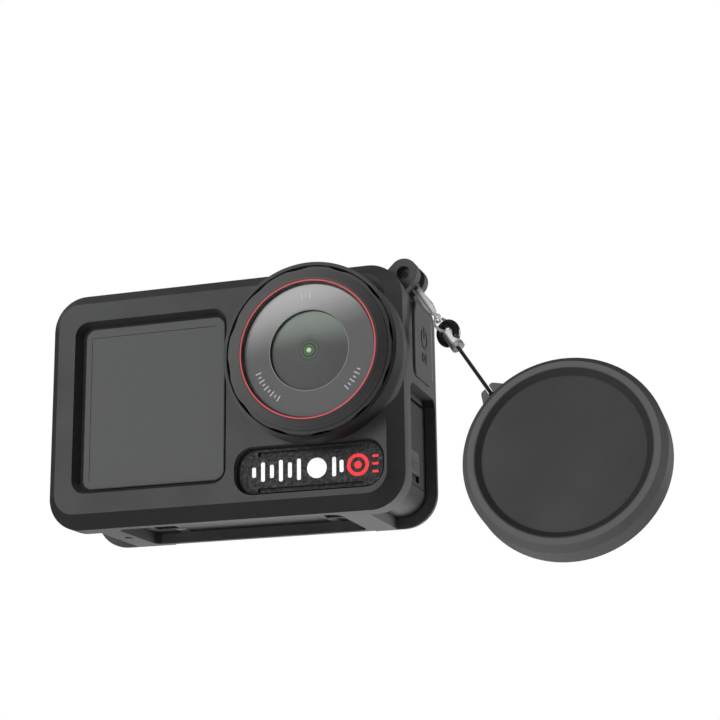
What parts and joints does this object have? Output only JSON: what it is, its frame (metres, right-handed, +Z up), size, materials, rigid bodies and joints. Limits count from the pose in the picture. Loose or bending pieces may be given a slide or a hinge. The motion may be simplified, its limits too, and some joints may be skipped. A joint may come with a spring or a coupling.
{
  "type": "action camera",
  "caption": "Compact action camera in a soft sleeve, with front and rear screens, a wide round lens, side doors, keys and a lens cap on a short lanyard.",
  "frame": {"origin": "centre of the quick-release seat on the camera's underside, where the camera is held in use", "axes": "+X to the viewer's right, from the front screen to the lens; -Y the way the lens looks; +Z up; -Z out of the seat"},
  "size_m": [0.1252, 0.0351, 0.0629],
  "materials": {
    "silicone": "soft matte, moulded silicone",
    "camera_shell": "fine grained",
    "guard_metal": "black anodised, satin",
    "red_accent": "satin red",
    "clear_glass": "polished, coated",
    "lens_print": "printed black with light marks",
    "lens_black": "dull black",
    "lens_glass": "polished, green coating",
    "sensor": "gloss",
    "circuit_board": "solder mask",
    "copper": "bare copper",
    "screen_glass": "polished, dark backed",
    "display": "unlit panel",
    "grained_plastic": null,
    "steel_grey": "satin",
    "magnet": "nickel plated",
    "battery_black": "smooth",
    "contact_gold": "plated",
    "door_plastic": "fine grained",
    "latch_grey": null,
    "seal_rubber": "soft",
    "card_plastic": "smooth",
    "button_plastic": "smooth",
    "switch_body": "moulded",
    "light_lens": "diffusing",
    "screw_steel": "blackened",
    "cord_black": "tight braid",
    "cord_gloss": "glossy coated cord",
    "pin_black": "smooth",
    "clasp_nickel": "nickel plated",
    "wire_steel": "bright wire",
    "ferrule_chrome": "polished"
  },
  "bodies": {
    "camera": {"silicone_sleeve": "silicone", "front_housing": "camera_shell", "rear_housing": "camera_shell", "lens_mount_ring": "camera_shell", "lens_face_plate": "lens_print", "lens_barrel": "lens_black", "front_element": "lens_glass", "middle_element": "lens_glass", "rear_element": "lens_glass", "image_sensor": "sensor", "sensor_board": "circuit_board", "main_board": "circuit_board", "heat_spreader": "copper", "front_screen_glass": "screen_glass", "front_display": "display", "rear_screen_glass": "screen_glass", "rear_display": "display", "badge_plate": "grained_plastic", "base_plate": "camera_shell", "base_catches": "steel_grey", "base_magnets": "magnet", "battery": "battery_black", "battery_contacts": "contact_gold", "battery_hinge_pin": "steel_grey", "memory_card": "card_plastic", "card_socket": "steel_grey", "usb_hinge_pin": "steel_grey", "usb_socket": "steel_grey", "power_switch": "switch_body", "record_switch": "switch_body", "speaker": "switch_body", "microphones": "steel_grey", "status_light": "light_lens", "housing_screws": "screw_steel", "lug_pin": "pin_black"},
    "lens_guard": {"lens_guard_ring": "guard_metal", "accent_ring": "red_accent", "lens_guard_glass": "clear_glass"},
    "power_key": {"power_pad": "silicone", "power_button": "button_plastic"},
    "record_key": {"record_pad": "silicone", "record_button": "button_plastic"},
    "usb_flap": {"usb_cover": "door_plastic"},
    "usb_slider": {"usb_latch": "latch_grey"},
    "battery_flap": {"battery_door": "door_plastic", "door_seal": "seal_rubber"},
    "battery_slider": {"battery_latch": "latch_grey"},
    "clasp": {"clasp_body": "clasp_nickel", "clasp_rivet": "clasp_nickel"},
    "gate": {"clasp_gate": "clasp_nickel"},
    "lanyard": {"swivel_eye": "clasp_nickel", "split_ring": "wire_steel", "cord_loop": "cord_gloss", "ferrule": "ferrule_chrome", "ferrule_collar": "ferrule_chrome", "tether_cord": "cord_black"},
    "cap": {"lens_cap": "silicone", "tab_pin": "cord_black"}
  },
  "joints": [
    {"name": "clasp_swing", "type": "hinge", "parent": "camera", "child": "clasp", "pos_m": [0.0366, -0.0026, 0.0457], "axis": [0, -1, 0], "range_deg": [-5, 90]},
    {"name": "lanyard_swivel", "type": "hinge", "parent": "clasp", "child": "lanyard", "pos_m": [0.04104, -0.00346, 0.03886], "axis": [0.5418, -0.1049, -0.8339], "continuous": true},
    {"name": "cap_flip", "type": "hinge", "parent": "lanyard", "child": "cap", "pos_m": [0.05355, -0.00588, 0.0196], "axis": [-0.8405, -0.0784, -0.5362], "range_deg": [-60, 60]},
    {"name": "clasp_gate_open", "type": "hinge", "parent": "clasp", "child": "gate", "pos_m": [0.03925, -0.00306, 0.0422], "axis": [0.0571, 0.9945, -0.088], "range_deg": [0, 14], "stiffness_Nm_per_rad": 0.002, "springref_deg": -5.73},
    {"name": "lens_guard_turn", "type": "hinge", "parent": "camera", "child": "lens_guard", "pos_m": [0.02114, -0.016, 0.02803], "axis": [0, -1, 0], "range_deg": [0, 45]},
    {"name": "power_press", "type": "slide", "parent": "camera", "child": "power_key", "axis": [-1, 0, 0], "range_m": [0, 0.0004], "stiffness_N_per_m": 2000, "springref_m": -0.0005},
    {"name": "record_press", "type": "slide", "parent": "camera", "child": "record_key", "axis": [0, 0, -1], "range_m": [0, 0.0004], "stiffness_N_per_m": 2000, "springref_m": -0.0005},
    {"name": "usb_cover_hinge", "type": "hinge", "parent": "camera", "child": "usb_flap", "pos_m": [0.0344, 0, 0.0214], "axis": [0, -1, 0], "range_deg": [0, 85]},
    {"name": "usb_latch_slide", "type": "slide", "parent": "usb_flap", "child": "usb_slider", "axis": [0, 0, -1], "range_m": [0, 0.0013]},
    {"name": "battery_door_hinge", "type": "hinge", "parent": "camera", "child": "battery_flap", "pos_m": [-0.0344, 0, 0.005], "axis": [0, -1, 0], "range_deg": [0, 90]},
    {"name": "battery_latch_slide", "type": "slide", "parent": "battery_flap", "child": "battery_slider", "axis": [0, 0, -1], "range_m": [0, 0.0013]}
  ]
}
